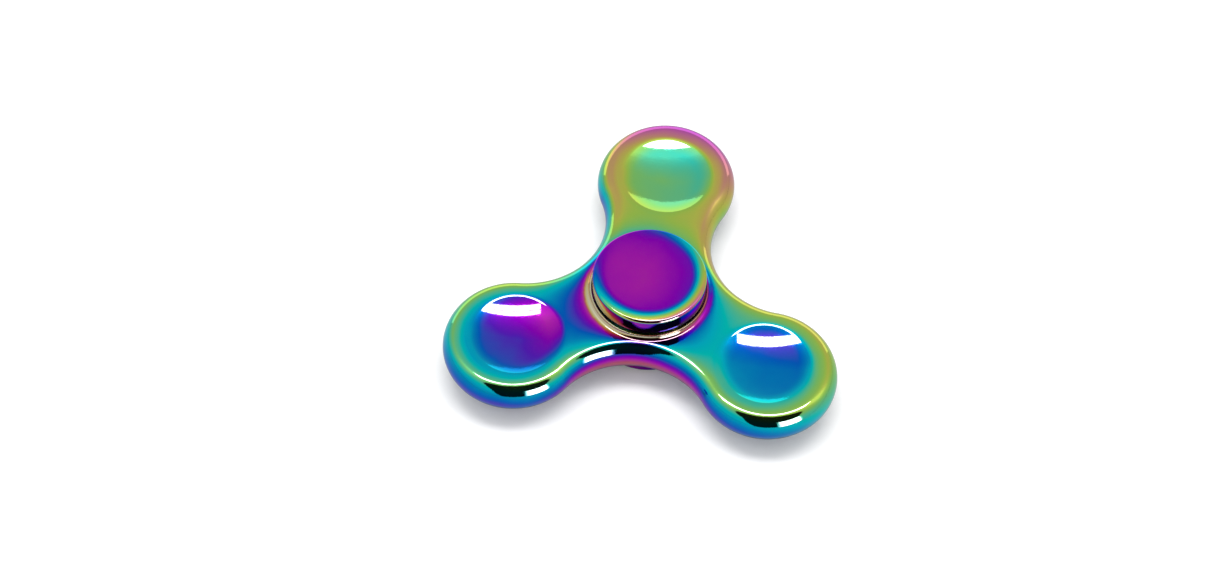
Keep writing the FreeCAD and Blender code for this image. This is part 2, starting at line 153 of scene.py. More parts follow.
THIN_PATCH_LOSS = 0.05
THIN_PATCH_X = (3.0, 10.0)
THIN_PATCH_Y = (9.0, 17.0)
THIN_PATCH_END = (23.0, 33.0)
UNDERCUT_GAIN = 0.05
UNDERCUT_FROM_TO = (0.0, 0.3)
UNDERSIDE_LOSS = 0.20
UNDERSIDE_FROM_TO = (0.4, 0.95)
WAIST_LOSS = (0.19, -0.006, -0.004)
WAIST_FROM_TO = (-1.0, 0.2)
WAIST_END = (20.0, 34.0)

# the film on the caps: amounts, where the crown's film sets in, and the heading where it is thickest
CAP_FILM = (0.274, 0.0042, 0.0)
CAP_FLAT_GAIN = 0.055
CROWN_GAIN = 0.32
CROWN_SIDE_GAIN = 0.30
CROWN_FROM = 7.8
CROWN_THICKEST = math.radians(-50)
UPRIGHT_LOSS = 0.55
UPRIGHT_FROM_TO = (0.9, 1.0)

# the camera: it stands off the spin centre and is turned a little past it
CAMERA_AZIMUTH = math.radians(4.98)
CAMERA_ELEVATION = math.radians(55.91)
CAMERA_DISTANCE = 573.8
CAMERA_TURN = math.radians(-0.669)
CAMERA_TILT = math.radians(0.331)
CAMERA_ROLL = math.radians(2.58)
CAMERA_LENS = 87.7

# the light on plain surfaces: even, with its shares from all round and from straight overhead, and
# watts from a softbox, with its width, depth, place and height
EVEN_LIGHT = 1.0
EVEN_SHARES = (0.2, 1.6)
SOFTBOX_POWER = 0.6
SOFTBOX = (250.0, 80.0, 20.0, 342.0)

# the lamp that mirrors see: its height, its left, right, near and far edges, and the gap in its middle
LAMP_HEIGHT = 342.0
LAMP_EDGES = (-150.0, 180.0, 5.0, 59.0)
TUBE_GAP = (33.0, 36.0)
LAMP_BRIGHTNESS = 4.0

# the white card that mirrors see: half its width, its distance behind the spinner, and its top
CARD = (230.0, 191.0, 91.0)
CARD_BRIGHTNESS = 1.25

# the window that mirrors see, in degrees: each edge is soft, from the first value to the second
WINDOW_LEFT = (14.0, 22.0)
WINDOW_RIGHT = (50.0, 45.0)
WINDOW_TOP = (29.0, 27.0)
WINDOW_SILL = (-1.0, 0.0)
WINDOW_BRIGHTNESS = 3.0

# the tent that mirrors see: its brightness away from the lamp, and the glow beside the lamp, which has
# its middle, half its size and its fade in degrees
TENT_BRIGHTNESS = 0.62
GLOW_BRIGHTNESS = 0.55
GLOW_MIDDLE = (12.0, 7.0)
GLOW_HALF = (35.0, 5.0)
GLOW_FADE = (12.0, 6.0)

# the photographer's dark shape in the tent, in degrees, and how much of the tent's light it returns
SHAPE_MIDDLE = (5.0, -50.0)
SHAPE_HALF = (39.0, 42.0)
SHAPE_POWER = 3.0
SHAPE_EDGE = (0.90, 1.10)
SHAPE_BRIGHTNESS = 0.02


# ---- surfaces ------------------------------------------------------------------------------------

class Surface:
    """Points, four-cornered faces and a normal for every corner, gathered patch by patch."""

    def __init__(self):
        self.points = []
        self.faces = []
        self.normals = []
        self.count = 0

    def add_faces(self, points, faces, normals):
        """normals are per point of this patch; each face is turned to face along its normals."""
        corner_points = points[faces]
        corner_normals = normals[faces]
        across = np.cross(corner_points[:, 2] - corner_points[:, 0],
                          corner_points[:, 3] - corner_points[:, 1])
        backwards = (across * corner_normals.sum(axis=1)).sum(axis=1) < 0
        faces = np.where(backwards[:, None], faces[:, ::-1], faces)
        self.points.append(points)
        self.faces.append(faces + self.count)
        self.normals.append(normals[faces])
        self.count += len(points)

    def add_grid(self, points, normals):
        """points[u][v] and normals[u][v]; the grid closes round u."""
        rows, columns = points.shape[:2]
        i, j = np.meshgrid(np.arange(rows), np.arange(columns - 1), indexing="ij")
        here = i * columns + j
        beside = (i + 1) % rows * columns + j
        corners = [here, beside, beside + 1, here + 1]
        faces = np.stack([c.ravel() for c in corners], axis=1)
        self.add_faces(points.reshape(-1, 3), faces, normals.reshape(-1, 3))

    def build(self, name, film):
        """The object, welded where patches meet. film gives the coating's value at points and normals."""
        points = np.concatenate(self.points)
        faces = np.concatenate(self.faces)
        normals = np.concatenate(self.normals)
        rounded = np.round(points, WELD_DECIMALS)
        _, first, place = np.unique(rounded, axis=0, return_index=True, return_inverse=True)
        faces = place.ravel()[faces]
        # a corner that is welded to the one before it is left out, and so is a face with no area left
        kept = faces != np.roll(faces, 1, axis=1)
        solid = kept.sum(axis=1) >= 3
        faces, normals, kept = faces[solid], normals[solid], kept[solid]
        mesh = bpy.data.meshes.new(name)
        mesh.from_pydata(points[first] * MM, [], [row[k].tolist() for row, k in zip(faces, kept)])
        mesh.shade_smooth()
        corner_normals = normals[kept]
        mesh.normals_split_custom_set(corner_normals.tolist())
        coating = mesh.attributes.new("film", "FLOAT", "CORNER")
        coating.data.foreach_set("value", film(points[first][faces[kept]], corner_normals))
        thing = bpy.data.objects.new(name, mesh)
        bpy.context.scene.collection.objects.link(thing)
        return thing


class Outline:
    """A line of radius and height, in straight and round stretches, with the solid on its left."""

    def __init__(self):
        self.stretches = []

    def line(self, start, end, pieces=1):
        start, end = np.array(start, float), np.array(end, float)
        along = (end - start) / np.linalg.norm(end - start)
        steps = np.linspace(0, 1, pieces + 1)[:, None]
        normal = np.array([along[1], -along[0]])
        self.stretches.append((start + (end - start) * steps, np.tile(normal, (pieces + 1, 1))))

    def arc(self, centre, radius, first, last, pieces):
        """From angle first to last in degrees; the surface is hollow where the angle falls."""
        angles = np.radians(np.linspace(first, last, pieces + 1))
        ray = np.stack([np.cos(angles), np.sin(angles)], axis=1)
        side = 1 if last > first else -1
        self.stretches.append((np.array(centre) + radius * ray, ray * side))

    def joined(self):
        """The points and normals of the whole line; a point between two stretches counts once."""
        points, normals = self.stretches[0]
        for more_points, more_normals in self.stretches[1:]:
            points = np.concatenate([points, more_points[1:]])
            normals = np.concatenate([normals, more_normals[1:]])
        return points, normals

    def mirrored(self):
        """The same outline below the middle plane."""
        other = Outline()
        flip = np.array([1, -1])
        for points, normals in self.stretches:
            other.stretches.append((points * flip, normals * flip))
        return other

    def spin(self, surface, segments, centre=(0, 0)):
        turn = np.linspace(0, 2 * math.pi, segments, endpoint=False)
        for points, normals in self.stretches:
            grids = []
            for values in (points, normals):
                grid = np.empty((segments, len(values), 3))
                grid[..., 0] = np.cos(turn)[:, None] * values[None, :, 0]
                grid[..., 1] = np.sin(turn)[:, None] * values[None, :, 0]
                grid[..., 2] = values[None, :, 1]
                grids.append(grid)
            grids[0][..., :2] += centre
            surface.add_grid(*grids)


# ---- the cast body -------------------------------------------------------------------------------

def polar(radius, heading):
    return np.array([radius * math.cos(heading), radius * math.sin(heading)])


def turn_between(start, end):
    """The shorter turn from one heading to another."""
    return (end - start + math.pi) % (2 * math.pi) - math.pi


LOBE_CENTRES = [polar(LOBE_DISTANCE, heading) for heading in LOBE_HEADINGS]
WEB_CENTRES = [polar(WEB_DISTANCE, heading) for heading in WEB_HEADINGS]
HALF_LOBE = turn_between(LOBE_HEADINGS[0], math.atan2(*(WEB_CENTRES[0] - LOBE_CENTRES[0])[::-1]))


def trace_outline(spacing):
    """Round the body's widest line: arc centre, ray to the line, arc radius, and +1 lobe or -1 web."""
    rows = []
    for k in range(LOBES):
        heading = LOBE_HEADINGS[k]
        steps = round(2 * HALF_LOBE * LOBE_RADIUS / spacing)
        for angle in np.linspace(-HALF_LOBE, HALF_LOBE, steps, endpoint=False):
            rows.append((*LOBE_CENTRES[k], *polar(1, heading + angle), LOBE_RADIUS, 1))
        start = heading + HALF_LOBE - math.pi
        opening = 2 * turn_between(start, WEB_HEADINGS[k] + math.pi)
        steps = round(abs(opening) * WEB_RADIUS / spacing)
        for angle in np.linspace(0, opening, steps, endpoint=False):
            rows.append((*WEB_CENTRES[k], *polar(1, start + angle), WEB_RADIUS, -1))
    return np.array(rows)


def side_outline():
    """The bulged side from the flat bottom up to the flat top, measured from the side arc's centre."""
    lean = math.degrees(math.atan2(CREASE_HEIGHT, CREASE_REACH))
    side = Outline()
    side.arc((CREASE_REACH, -CREASE_HEIGHT), CREASE_ROUNDING, -90, -lean, pieces=14)
    side.arc((0, 0), SIDE_RADIUS, -lean, lean, pieces=36)
    side.arc((CREASE_REACH, CREASE_HEIGHT), CREASE_ROUNDING, lean, 90, pieces=14)
    return side


def dimple_outline():
    """From the flat face over the rounded rim and down the hollow to its middle."""
    sphere_height = HALF_BODY - DIMPLE_DEPTH + DIMPLE_SPHERE
    rim_height = HALF_BODY - DIMPLE_ROUNDING
    rim = math.sqrt((DIMPLE_SPHERE + DIMPLE_ROUNDING) ** 2 - (sphere_height - rim_height) ** 2)
    lean = math.degrees(math.atan2(sphere_height - rim_height, -rim))
    dimple = Outline()
    dimple.arc((rim, rim_height), DIMPLE_ROUNDING, 90, lean, pieces=10)
    dimple.arc((0, sphere_height), DIMPLE_SPHERE, lean - 180, -90, pieces=40)
    return dimple


def collar_outline():
    """From the flat face up the hollow foot, over the lip and down the bore to the middle plane."""
    inner = SEAT_RADIUS + LIP_ROUNDING
    outer = COLLAR_EDGE - LIP_ROUNDING
    shoulder = COLLAR_TOP - LIP_ROUNDING
    collar = Outline()
    collar.arc((COLLAR_FOOT, COLLAR_TOP), COLLAR_HEIGHT, 270, 180 + LIP_LEAN, pieces=12)
    collar.arc((outer, shoulder), LIP_ROUNDING, 0, 90, pieces=4)
    collar.line((outer, COLLAR_TOP), (inner, COLLAR_TOP))
    collar.arc((inner, shoulder), LIP_ROUNDING, 90, 180, pieces=4)
    collar.line((SEAT_RADIUS, shoulder), (SEAT_RADIUS, 0), pieces=6)
    return collar


def even_points(holes):
    """Evenly spaced points over the flat face, clear of its border and of the round holes."""
    reach = LOBE_DISTANCE + LOBE_RADIUS
    along = np.arange(-reach, reach, FLAT_SPACING)
    x, y = np.meshgrid(along, along * math.sqrt(3) / 2)
    x[::2] += FLAT_SPACING / 2
    places = np.stack([x.ravel(), y.ravel()], axis=1)
    clear = FLAT_SPACING / 2
    inside = inset(places) > FLAT_INSET + clear
    for centre, radius in holes:
        inside &= np.linalg.norm(places - centre, axis=1) > radius + clear
    return places[inside]


def flat_face(surface, border, dimple_rim):
    """Triangles over the flat top, between the crease, the dimples and the collar, and the same below."""
    turn = np.linspace(0, 2 * math.pi, BODY_SEGMENTS, endpoint=False)
    ring = np.stack([np.cos(turn), np.sin(turn)], axis=1)
    holes = [(np.zeros(2), COLLAR_FOOT)]
    holes += [(polar(DIMPLE_DISTANCE, heading), dimple_rim) for heading in LOBE_HEADINGS]
    loops = [border] + [centre + ring * radius for centre, radius in holes]
    edges = []
    start = 0
    for loop in loops:
        edges += [(start + i, start + (i + 1) % len(loop)) for i in range(len(loop))]
        start += len(loop)
    points = np.concatenate(loops + [even_points(holes)])
    inside_border = 1
    touching = 1e-6
    filled = geometry.delaunay_2d_cdt([Vector(p) for p in points], edges, [], inside_border, touching)
    flat = np.array([list(p) for p in filled[0]])
    triangles = np.array(filled[2])
    middle = flat[triangles].mean(axis=1)
    in_hole = np.zeros(len(triangles), bool)
    for centre, radius in holes:
        in_hole |= np.linalg.norm(middle - centre, axis=1) < radius
    triangles = triangles[~in_hole]
    # a triangle is a face whose last corner counts twice
    faces = np.concatenate([triangles, triangles[:, 2:]], axis=1)
    for side in (1, -1):
        lifted = np.column_stack([flat, np.full(len(flat), side * HALF_BODY)])
        surface.add_faces(lifted, faces, np.tile([0.0, 0.0, side], (len(flat), 1)))


def inset(places):
    """How far each place in plan lies inside the body's widest line."""
    distance = np.min([np.linalg.norm(places - centre, axis=1) for centre in WEB_CENTRES], axis=0)
    result = distance - WEB_RADIUS
    for centre, heading in zip(LOBE_CENTRES, LOBE_HEADINGS):
        offset = places - centre
        length = np.linalg.norm(offset, axis=1)
        forward = offset @ polar(1, heading)
        result = np.where(forward > length * math.cos(HALF_LOBE), LOBE_RADIUS - length, result)
    return result


def smooth_step(low, high, value):
    share = np.clip((value - low) / (high - low), 0, 1)
    return share * share * (3 - 2 * share)


def grown(amount, x, y):
    """An amount at the spin centre, with what it gains per millimetre towards +X and +Y."""
    middle, per_x, per_y = amount
    return middle + per_x * x + per_y * y


def body_film(points, normals):
    """Thickness of the interference film on the body, on the scale of FILM_COLOURS.

    The coating vapour came mostly from one side and from above, so the film grows across the body and
    on surfaces that lean that way; it is thick on exposed edges, thin in dimples, notches and corners.
    """
    plan = points[:, :2]
    x, y, z = points.T
    lean_x, lean_y, lean_z = normals.T
    radius = np.linalg.norm(plan, axis=1)
    dimples = [polar(DIMPLE_DISTANCE, heading) for heading in LOBE_HEADINGS]
    from_dimple = np.min([np.linalg.norm(plan - centre, axis=1) for centre in dimples], axis=0)
    in_dimple = from_dimple < DIMPLE_RADIUS + DIMPLE_ROUNDING / 2
    from_edge = np.clip(inset(plan) - EDGE_INSET, 0, None)
    from_collar = np.clip(radius - COLLAR_FOOT, 0, None)
    steep = smooth_step(*STEEP_FROM_TO, np.linalg.norm(normals[:, :2], axis=1))

    film = grown(BODY_FILM, x, y)
    film += FIRST_LOBE_GROWTH * np.clip(y, 0, FIRST_LOBE_REACH)
    film += TIP_GAIN * smooth_step(*TIP_FROM_TO, y)

    # where the surface leans
    film += LEAN_GAIN[0] * lean_x + LEAN_GAIN[1] * lean_y
    film += STEEP_X_GAIN * lean_x * steep * smooth_step(*STEEP_X_FROM_TO, y)
    film -= STEEP_LOSS * steep

    # in the dimples
    film -= grown(DIMPLE_LOSS, x, y) * (1 - smooth_step(*DIMPLE_FROM_TO, from_dimple))
    film += in_dimple * (DIMPLE_LEAN_GAIN[0] * lean_x + DIMPLE_LEAN_GAIN[1] * lean_y)
    film += in_dimple * DIMPLE_SHADE * np.clip(lean_y, None, 0)

    # along the edge and round the collar
    film += grown(EDGE_GAIN, x, y) * np.exp(-from_edge / EDGE_FADE)
    film -= grown(COLLAR_LOSS, x, y) * np.exp(-from_collar / COLLAR_FADE) * (1 - steep)
    film -= CORNER_LOSS * np.exp(-from_collar / CORNER_FADE)
    film -= LIP_LOSS * smooth_step(HALF_BODY, COLLAR_TOP, np.abs(z))

    # between the collar and the first dimple
    in_patch = smooth_step(*THIN_PATCH_X, x) * smooth_step(*THIN_PATCH_Y, y)
    film -= THIN_PATCH_LOSS * in_patch * (1 - smooth_step(*THIN_PATCH_END, y))

    # where the surface faces down, and at the waist of the three notches
    film += UNDERCUT_GAIN * smooth_step(*UNDERCUT_FROM_TO, -lean_z)
    film -= UNDERSIDE_LOSS * smooth_step(*UNDERSIDE_FROM_TO, -lean_z)
    at_waist = steep * smooth_step(*WAIST_FROM_TO, -lean_z) * (1 - smooth_step(*WAIST_END, radius))
    film -= grown(WAIST_LOSS, x, y) * at_waist
    return np.clip(film, 0, FILM_SCALE)


def side_face(surface):
    """The bulged side, all round the body. Returns its top line in plan, where the flat face begins."""
    points, normals = side_outline().joined()
    line = trace_outline(OUTLINE_SPACING)
    centre = line[:, :2]
    ray = line[:, 2:4]
    radius = line[:, 4:5]
    sign = line[:, 5:]
    outward = ray * sign
    widest = centre + ray * radius
    grid = np.empty((len(line), len(points), 3))
    facing = np.empty_like(grid)
    grid[..., :2] = widest[:, None] - outward[:, None] * (SIDE_RADIUS - points[None, :, :1])
    grid[..., 2] = points[None, :, 1]
    facing[..., :2] = outward[:, None] * normals[None, :, :1]
    facing[..., 2] = normals[None, :, 1]
    surface.add_grid(grid, facing)
    return grid[:, -1, :2]


def make_body():
    surface = Surface()
    border = side_face(surface)
    dimple = dimple_outline()
    collar = collar_outline()
    for outline in (dimple, dimple.mirrored()):
        for heading in LOBE_HEADINGS:
            outline.spin(surface, BODY_SEGMENTS, polar(DIMPLE_DISTANCE, heading))
    for outline in (collar, collar.mirrored()):
        outline.spin(surface, BODY_SEGMENTS)
    rim_points, _ = dimple.joined()
    flat_face(surface, border, dimple_rim=rim_points[0, 0])

    body = surface.build("body_shell", body_film)
    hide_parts("spinner_body")
    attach(body, "spinner")
    return body


# ---- the caps ------------------------------------------------------------------------------------

def cap_outline():
    """From the tapped bore round the stub, shoulder, rim and crown to the middle of the top."""
    crown_height = CAP_TOP - CAP_CROWN
    rim_height = crown_height + (CAP_CROWN - CAP_ROUNDING) * math.cos(CROWN_LEAN)
    crown_start = 90 - math.degrees(CROWN_LEAN)
    cap = Outline()
    cap.line((0, TAP_FLOOR), (TAP_RADIUS, TAP_FLOOR))
    cap.line((TAP_RADIUS, TAP_FLOOR), (TAP_RADIUS, STUB_END))
    cap.line((TAP_RADIUS, STUB_END), (STUB_RADIUS - SMALL_EDGE, STUB_END))
    cap.line((STUB_RADIUS - SMALL_EDGE, STUB_END), (STUB_RADIUS, STUB_END + SMALL_EDGE))
    cap.line((STUB_RADIUS, STUB_END + SMALL_EDGE), (STUB_RADIUS, BEARING_HALF))
    cap.line((STUB_RADIUS, BEARING_HALF), (BOSS_RADIUS, BEARING_HALF))
    cap.line((BOSS_RADIUS, BEARING_HALF), (BOSS_RADIUS, CAP_UNDERSIDE))
    cap.line((BOSS_RADIUS, CAP_UNDERSIDE), (CAP_RADIUS - SMALL_EDGE, CAP_UNDERSIDE))
    cap.arc((CAP_RADIUS - SMALL_EDGE, CAP_UNDERSIDE + SMALL_EDGE), SMALL_EDGE, -90, 0, pieces=8)
    cap.line((CAP_RADIUS, CAP_UNDERSIDE + SMALL_EDGE), (CAP_RADIUS, rim_height), pieces=8)
    cap.arc((CAP_RADIUS - CAP_ROUNDING, rim_height), CAP_ROUNDING, 0, crown_start, pieces=16)
    cap.arc((CAP_FLAT, crown_height), CAP_CROWN, crown_start, 90, pieces=16)
    cap.line((CAP_FLAT, CAP_TOP), (0, CAP_TOP), pieces=24)
    return cap


def cap_film(points, normals):
    """Thin and even on the flat, rising over the crown, most of all on one side, and thin where upright."""
    x, y = points[:, 0], points[:, 1]
    radius = np.linalg.norm(points[:, :2], axis=1)
    heading = np.arctan2(y, x)
    film = grown(CAP_FILM, x, y) + CAP_FLAT_GAIN * (radius / CAP_FLAT) ** 2
    on_crown = smooth_step(CROWN_FROM, CAP_RADIUS, radius)
    film += on_crown * (CROWN_GAIN + CROWN_SIDE_GAIN * np.cos(heading - CROWN_THICKEST))
    film -= UPRIGHT_LOSS * smooth_step(*UPRIGHT_FROM_TO, np.linalg.norm(normals[:, :2], axis=1))
    return np.clip(film, 0, FILM_SCALE)


def make_cap(name, node, outline):
    surface = Surface()
    outline.spin(surface, CAP_SEGMENTS)
    cap = surface.build(name, cap_film)
    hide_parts(node)
    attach(cap, "hub")
    return cap


# ---- materials -----------------------------------------------------------------------------------

# film thickness: tint of the light that the metal under it returns
FILM_COLOURS = {
    0.00: (1.00, 0.95, 0.68),
    0.07: (1.00, 0.86, 0.40),
    0.13: (0.90, 0.52, 0.18),
    0.19: (0.80, 0.14, 0.28),
    0.27: (0.70, 0.02, 0.72),
    0.33: (0.42, 0.00, 0.80),
    0.38: (0.16, 0.02, 0.86),
    0.44: (0.00, 0.18, 0.90),
    0.50: (0.00, 0.42, 0.92),
    0.56: (0.00, 0.78, 1.00),
    0.61: (0.00, 0.92, 0.84),
    0.67: (0.16, 0.92, 0.52),
    0.73: (0.36, 0.94, 0.24),
    0.79: (0.58, 0.94, 0.14),
    0.84: (0.82, 0.88, 0.14),
    0.89: (0.92, 0.70, 0.18),
    0.93: (0.94, 0.50, 0.28),
    0.97: (0.94, 0.34, 0.42),
    1.02: (0.88, 0.20, 0.62),
    1.08: (0.78, 0.12, 0.84),
    1.14: (0.50, 0.10, 0.90),
}

# how far the film's thickness wanders, and the square of its refractive index
FILM_WANDER = 0.012
FILM_INDEX_SQUARED = 5.3
# the light's path through the film, beside the path straight down, that FILM_COLOURS are given for
GIVEN_PATH = 0.97

# how much of the light the metal under the film returns, and the colours that it is mixed with
METAL_SHINE = 0.72
NEUTRAL = (0.50, 0.52, 0.56, 1.0)
WHITE = (1.0, 1.0, 1.0, 1.0)
BLACK = (0.0, 0.0, 0.0, 1.0)

# share of NEUTRAL for dull surfaces, share of WHITE in the highlight painted into the base colour where a
# mirror sees the lamp or window, and the cosine for straight on
DULL_SHARE = 0.75
PAINTED_GLARE_SHARE = 0.65
STRAIGHT_ON = 0.985


class Graph:
    """Short ways to add nodes to a material or world."""

    def __init__(self, owner):
        owner.use_nodes = True
        self.tree = owner.node_tree
        self.tree.nodes.clear()

    def add(self, kind, inputs=None, **settings):
        node = self.tree.nodes.new(kind)
        for key, value in settings.items():
            setattr(node, key, value)
        for key, value in (inputs or {}).items():
            self.feed(node.inputs[key], value)
        return node

    def feed(self, socket, value):
        if isinstance(value, bpy.types.NodeSocket):
            self.tree.links.new(value, socket)
        else:
            socket.default_value = value

    def math(self, operation, *values):
        node = self.add("ShaderNodeMath", operation=operation)
        for socket, value in zip(node.inputs, values):
            self.feed(socket, value)
        return node.outputs[0]

    def product(self, first, *others):
        for other in others:
            first = self.math("MULTIPLY", first, other)
        return first

    def hypotenuse(self, first, second):
        squares = self.math("ADD", self.product(first, first), self.product(second, second))
        return self.math("SQRT", squares)

    def off(self, value, middle):
        return self.math("ABSOLUTE", self.math("SUBTRACT", value, middle))

    def beyond(self, value, limit):
        return self.math("MAXIMUM", self.math("SUBTRACT", value, limit), 0.0)

    def remap(self, value, from_low, from_high, to_low=0.0, to_high=1.0):
        node = self.add("ShaderNodeMapRange", interpolation_type="SMOOTHSTEP")
        for key, item in (("Value", value), ("From Min", from_low), ("From Max", from_high),
                          ("To Min", to_low), ("To Max", to_high)):
            self.feed(node.inputs[key], item)
        return node.outputs["Result"]

    def noise(self, place, scale, detail, roughness=0.5):
        node = self.add("ShaderNodeTexNoise", {
            "Vector": place, "Scale": scale, "Detail": detail, "Roughness": roughness})
        return node.outputs["Fac"]

    def ramp(self, value, stops):
        node = self.add("ShaderNodeValToRGB", {"Fac": value})
        points = node.color_ramp.elements
        while len(points) < len(stops):
            points.new(0.5)
        positions, colours = zip(*sorted(stops.items()))
        for point, position in zip(points, positions):
            point.position = position
        # moving a point can change the points' order, so the colours come after
        for point, colour in zip(points, colours):
            point.color = (*colour, 1.0)
        return node.outputs["Color"]

    def mix(self, share, first, second):
        """A colour mix; the node's colour sockets share their names with others, so they go by number."""
        first_socket, second_socket, result_socket = 6, 7, 2
        node = self.add("ShaderNodeMix", {"Factor": share, first_socket: first, second_socket: second},
                        data_type="RGBA", clamp_factor=True)
        return node.outputs[result_socket]

    def surface(self, shader, kind="ShaderNodeOutputMaterial"):
        """Makes this shader the one that the material or world shows."""
        self.add(kind, {"Surface": shader.outputs[0]})


def for_mirrors(graph):
    """1 for a ray from a mirror that no dull surface has scattered, else 0."""
    seen = graph.add("ShaderNodeLightPath").outputs
    return graph.product(seen["Is Glossy Ray"], graph.math("LESS_THAN", seen["Diffuse Depth"], 0.5))


def follow_camera(curve):
    """Ties a value to the camera's heading, so that the studio stands the same way round in every view."""
    heading = curve.driver.variables.new()
    heading.type = "TRANSFORMS"
    heading.targets[0].id = bpy.context.scene.camera
    heading.targets[0].transform_type = "ROT_Z"
    curve.driver.type = "SUM"


def split_up(graph, vector):
    """The X, Y and Z of a vector."""
    split = graph.add("ShaderNodeSeparateXYZ", {"Vector": vector})
    return [split.outputs[key] for key in "XYZ"]


def facing_camera(graph, vector):
    """The parts of a direction or place: across the camera's view, back from it, and up."""
    heading = graph.add("ShaderNodeValue").outputs[0]
    follow_camera(heading.driver_add("default_value"))
    turned = graph.add("ShaderNodeVectorRotate", {"Vector": vector, "Angle": graph.product(heading, -1.0)},
                       rotation_type="Z_AXIS")
    return split_up(graph, turned.outputs["Vector"])


def window_in(graph, direction):
    """1 for directions to the window over the photographer's shoulder, else 0."""
    across, back, up = facing_camera(graph, direction)
    heading = graph.math("DEGREES", graph.math("ARCTAN2", across, graph.product(back, -1.0)))
    height = graph.math("DEGREES", graph.math("ARCSINE", up))
    return graph.product(graph.remap(heading, *WINDOW_LEFT), graph.remap(heading, *WINDOW_RIGHT),
                         graph.remap(height, *WINDOW_TOP), graph.remap(height, *WINDOW_SILL))


def lamp_in(graph, place, direction):
    """1 where a line from this place in this direction meets the lamp's tubes, else 0."""
    x, y, z = facing_camera(graph, place)
    across, back, up = facing_camera(graph, direction)
    # a line that hardly rises never comes to the lamp
    least_rise = 0.05
    climb = graph.math("SUBTRACT", LAMP_HEIGHT * MM, z)
    reach = graph.math("DIVIDE", climb, graph.math("MAXIMUM", up, least_rise))
    across = graph.math("MULTIPLY_ADD", across, reach, x)
    back = graph.math("MULTIPLY_ADD", back, reach, y)
    left, right, near, far = [edge * MM for edge in LAMP_EDGES]
    # the edges are a little soft, and so is the dark line between the tubes
    soft = 4 * MM
    dark, bright = 1 * MM, 3 * MM
    from_gap = graph.off(back, sum(TUBE_GAP) / 2 * MM)
    return graph.product(graph.remap(across, left - soft, left + soft),
                         graph.remap(across, right + soft, right - soft),
                         graph.remap(back, near - soft, near + soft),
                         graph.remap(back, far + soft, far - soft),
                         graph.remap(from_gap, dark, bright))


def glare(graph, place):
    """1 where the mirror image of the lamp or window is too bright to show the film's colour; it masks the
    white highlight painted into the base colour.
    """
    direction = graph.add("ShaderNodeTexCoord").outputs["Reflection"]
    return graph.math("MAXIMUM", lamp_in(graph, place, direction), window_in(graph, direction))


def film_colour(graph, film, facing):
    """The colour that the film gives the metal, where facing is the cosine of the view's lean.

    The light's path through the film shortens as the view leans over, by Snell's law in the film.
    """
    sine_squared = graph.math("SUBTRACT", 1.0, graph.product(facing, facing))
    path = graph.math("SUBTRACT", 1.0, graph.math("DIVIDE", sine_squared, FILM_INDEX_SQUARED))
    share = graph.math("DIVIDE", graph.math("SQRT", path), GIVEN_PATH)
    # at a value of 0 the film is already one unit thick
    film = graph.math("SUBTRACT", graph.product(graph.math("ADD", film, 1.0), share), 1.0)
    stops = {thickness / FILM_SCALE: [METAL_SHINE * part for part in colour]
             for thickness, colour in FILM_COLOURS.items()}
    return graph.ramp(graph.math("DIVIDE", film, FILM_SCALE), stops)


def rainbow_plating(name):
    """Mirror metal under an interference film, whose colour follows its thickness and the view, with a white
    highlight painted into the colour where it mirrors the lamp or window.
    """
    material = bpy.data.materials.new(name)
    graph = Graph(material)
    place = graph.add("ShaderNodeTexCoord").outputs["Object"]
    film = graph.add("ShaderNodeAttribute", attribute_name="film").outputs["Fac"]
    cloud = graph.noise(place, 90.0, 3.0)
    film = graph.math("ADD", film, graph.remap(cloud, 0.3, 0.7, -FILM_WANDER, FILM_WANDER))
    surface = graph.add("ShaderNodeNewGeometry").outputs
    dot = graph.add("ShaderNodeVectorMath", {0: surface["Incoming"], 1: surface["Normal"]},
                    operation="DOT_PRODUCT")
    facing = dot.outputs["Value"]
    colour = film_colour(graph, film, facing)
    # the table takes less colour from the body than the eye does
    seen = graph.add("ShaderNodeLightPath").outputs
    colour = graph.mix(graph.product(seen["Is Diffuse Ray"], DULL_SHARE), colour, NEUTRAL)
    # painted highlight: white is mixed into the base colour where the mirrored view meets the lamp or
    # window, but not seen straight on, where the viewer stands in the way of any lamp
    leaning = graph.math("LESS_THAN", facing, STRAIGHT_ON)
    painted_highlight = graph.product(glare(graph, surface["Position"]), leaning, PAINTED_GLARE_SHARE)
    colour = graph.mix(painted_highlight, colour, WHITE)

    smudge = graph.noise(place, 160.0, 5.0, 0.62)
    roughness = graph.remap(smudge, 0.35, 0.75, 0.03, 0.07)
    ripple = graph.noise(place, 500.0, 4.0, 0.7)
    bump = graph.add("ShaderNodeBump", {"Height": ripple, "Strength": 0.6, "Distance": 0.03 * MM})
    graph.surface(graph.add("ShaderNodeBsdfPrincipled", {
        "Base Color": colour, "Metallic": 1.0, "Roughness": roughness, "Normal": bump.outputs["Normal"],
        "Coat Weight": 0.05, "Coat Roughness": 0.03}))
    return material


